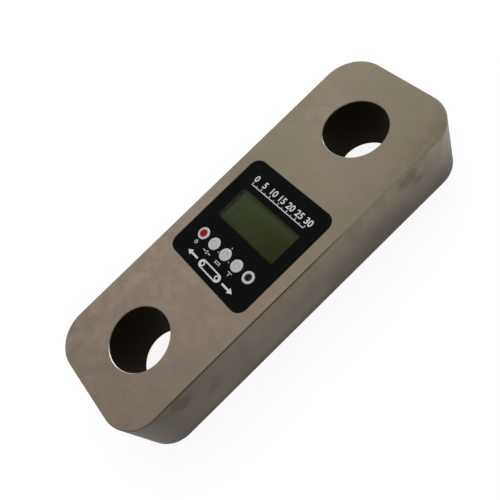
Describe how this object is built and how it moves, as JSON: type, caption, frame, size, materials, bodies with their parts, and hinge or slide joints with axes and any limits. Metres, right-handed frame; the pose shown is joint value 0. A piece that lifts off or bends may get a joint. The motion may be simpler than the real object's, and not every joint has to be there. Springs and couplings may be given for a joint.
{
  "type": "digital tension dynamometer",
  "caption": "Thick steel tension link with a shackle eye at each end, a sunk black panel with a reflective display, round press keys and a charging socket.",
  "frame": {"origin": "on the back face, midway between the two shackle eyes", "axes": "+X across the link to the right of the display, +Y along the link towards the top of the display, +Z out of the front face"},
  "size_m": [0.134, 0.391, 0.068],
  "materials": {
    "nickel_steel": "satin nickel over milled alloy steel",
    "cover_steel": "brushed plate",
    "screw_steel": "turned",
    "bright_metal": "plated",
    "brass": "turned",
    "copper_wire": "bare wire",
    "key_silver": "fine blasted and anodised",
    "black_plastic": "moulded",
    "overlay_film": "fine textured film with white print",
    "chip_plastic": "moulded",
    "white_plastic": "moulded",
    "red_plastic": "moulded",
    "circuit_board": "solder mask on glass laminate",
    "radio_board": "solder mask on glass laminate",
    "capacitor_can": "sleeved can",
    "cell_wrap": "shrink sleeve over a steel can",
    "gauge_foil": "metal foil on film",
    "grey_cable": "jacket",
    "rubber": "moulded",
    "contact_rubber": "striped conductive rubber",
    "foam": "closed-cell foam",
    "clear_acrylic": "clear, slightly hazed",
    "display_glass": "reflective display, switched off"
  },
  "bodies": {
    "root": {"load_body": "nickel_steel", "front_panel": "black_plastic", "panel_overlay": "overlay_film", "panel_gasket": "rubber", "panel_screws": "screw_steel", "window_lens": "clear_acrylic", "window_gasket": "rubber", "lcd_bezel": "black_plastic", "lcd_glass": "display_glass", "lcd_backlight": "white_plastic", "zebra_strips": "contact_rubber", "main_board": "circuit_board", "board_standoffs": "brass", "board_screws": "screw_steel", "processor_chip": "chip_plastic", "amplifier_chip": "chip_plastic", "board_capacitors": "capacitor_can", "radio_module": "radio_board", "radio_shield": "bright_metal", "antenna_coil": "copper_wire", "switch_housings": "chip_plastic", "power_key_spring": "bright_metal", "zero_key_spring": "bright_metal", "unit_key_spring": "bright_metal", "peak_key_spring": "bright_metal", "socket_ring_nut": "key_silver", "socket_body": "black_plastic", "socket_pin": "bright_metal", "socket_terminals": "brass", "gauge_header": "white_plastic", "battery_header": "white_plastic", "front_gauges": "gauge_foil", "back_gauges": "gauge_foil", "front_gauge_seal": "bright_metal", "back_gauge_seal": "bright_metal", "gauge_cable": "grey_cable", "wire_grommet": "rubber", "battery_wire_red": "red_plastic", "battery_wire_black": "black_plastic", "battery_holder": "black_plastic", "holder_screws": "screw_steel", "battery_cell_left": "cell_wrap", "battery_cell_right": "cell_wrap", "battery_springs": "bright_metal", "battery_contacts": "bright_metal", "battery_pad": "foam", "back_gasket": "rubber", "back_cover": "cover_steel", "back_cover_screws": "screw_steel"},
    "power_key": {"power_key_cap": "key_silver", "power_key_dot": "red_plastic", "power_key_plunger": "white_plastic"},
    "zero_key": {"zero_key_cap": "key_silver", "zero_key_plunger": "white_plastic"},
    "unit_key": {"unit_key_cap": "key_silver", "unit_key_plunger": "white_plastic"},
    "peak_key": {"peak_key_cap": "key_silver", "peak_key_plunger": "white_plastic"}
  },
  "joints": [
    {"name": "power_key_press", "type": "slide", "parent": "root", "child": "power_key", "axis": [0, 0, -1], "range_m": [0, 0.0008], "stiffness_N_per_m": 1000, "springref_m": -0.001, "deforming": ["power_key_spring"]},
    {"name": "zero_key_press", "type": "slide", "parent": "root", "child": "zero_key", "axis": [0, 0, -1], "range_m": [0, 0.0008], "stiffness_N_per_m": 1000, "springref_m": -0.001, "deforming": ["zero_key_spring"]},
    {"name": "unit_key_press", "type": "slide", "parent": "root", "child": "unit_key", "axis": [0, 0, -1], "range_m": [0, 0.0008], "stiffness_N_per_m": 1000, "springref_m": -0.001, "deforming": ["unit_key_spring"]},
    {"name": "peak_key_press", "type": "slide", "parent": "root", "child": "peak_key", "axis": [0, 0, -1], "range_m": [0, 0.0008], "stiffness_N_per_m": 1000, "springref_m": -0.001, "deforming": ["peak_key_spring"]}
  ]
}
